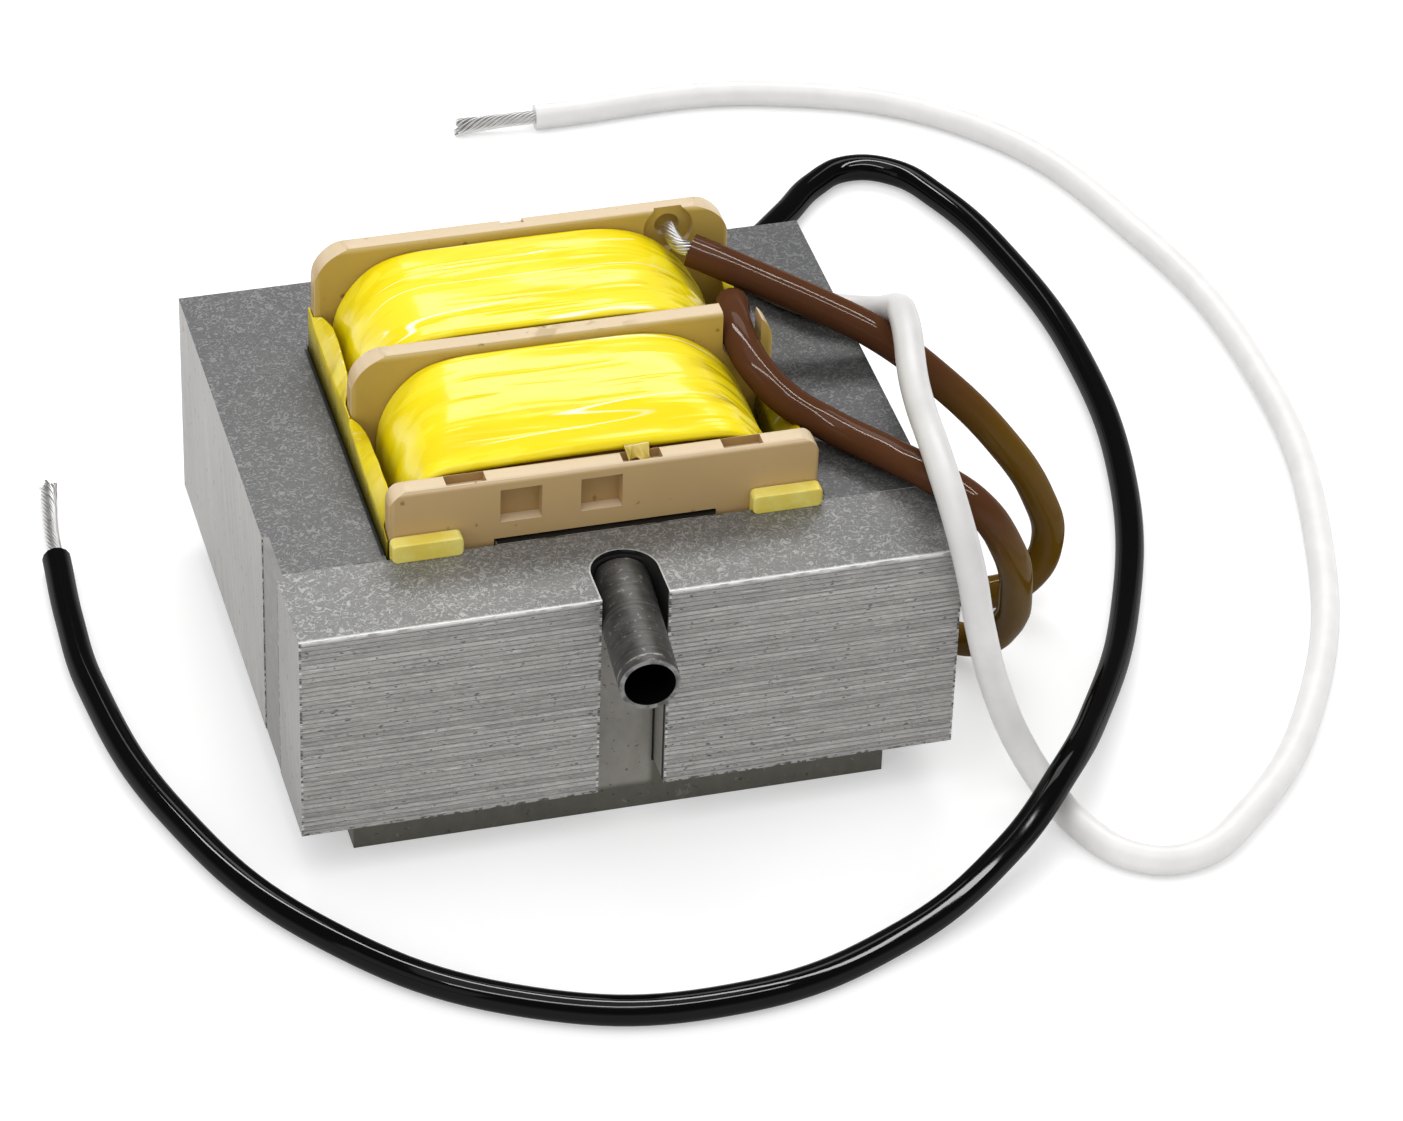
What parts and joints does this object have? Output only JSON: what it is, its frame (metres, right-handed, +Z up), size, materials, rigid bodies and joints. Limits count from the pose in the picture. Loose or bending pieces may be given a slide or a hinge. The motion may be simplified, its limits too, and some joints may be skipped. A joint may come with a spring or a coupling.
{
  "type": "step-down transformer",
  "caption": "Open-frame step-down transformer: laminated steel core on a base plate, flanged bobbin with yellow-taped coils, a steel sleeve in the front slot and flying leads.",
  "frame": {"origin": "on the floor, under the middle of the base plate", "axes": "+X to the right seen from the sleeve's side, +Y from the sleeve to the back, +Z up through the stack of sheets"},
  "size_m": [0.1594, 0.183, 0.0482],
  "materials": {
    "base_steel": "dull dark steel plate",
    "core_steel": "matt rolled electrical steel",
    "yoke_steel": "matt rolled electrical steel, sheared edges",
    "weld": "dressed weld",
    "bobbin_plastic": "moulded, satin",
    "copper": "enamelled copper wire",
    "yellow_tape": "glossy film tape",
    "yellow_film": "glossy film",
    "wedge_plastic": "waxy",
    "sleeve_steel": "dark blued steel",
    "black_insulation": "smooth extruded insulation",
    "white_insulation": "smooth extruded insulation",
    "brown_insulation": "smooth extruded insulation",
    "tinned_copper": "tinned twisted strands"
  },
  "bodies": {
    "root": {"base_plate": "base_steel", "base_tongue": "base_steel", "e_stack": "core_steel", "i_stack": "yoke_steel", "weld_left": "weld", "weld_right": "weld", "bobbin": "bobbin_plastic", "front_winding": "copper", "rear_winding": "copper", "front_tape": "yellow_tape", "rear_tape": "yellow_tape", "film_front_left": "yellow_film", "film_front_right": "yellow_film", "film_rear_left": "yellow_film", "film_rear_right": "yellow_film", "wedge_left": "wedge_plastic", "wedge_right": "wedge_plastic", "spacer_sleeve": "sleeve_steel", "black_lead": "black_insulation", "black_strands": "tinned_copper", "white_lead": "white_insulation", "white_strands": "tinned_copper", "brown_lead_rear": "brown_insulation", "brown_keyhole_strands": "tinned_copper", "brown_rear_strands": "tinned_copper", "brown_lead_front": "brown_insulation", "brown_front_strands": "tinned_copper"}
  },
  "joints": []
}
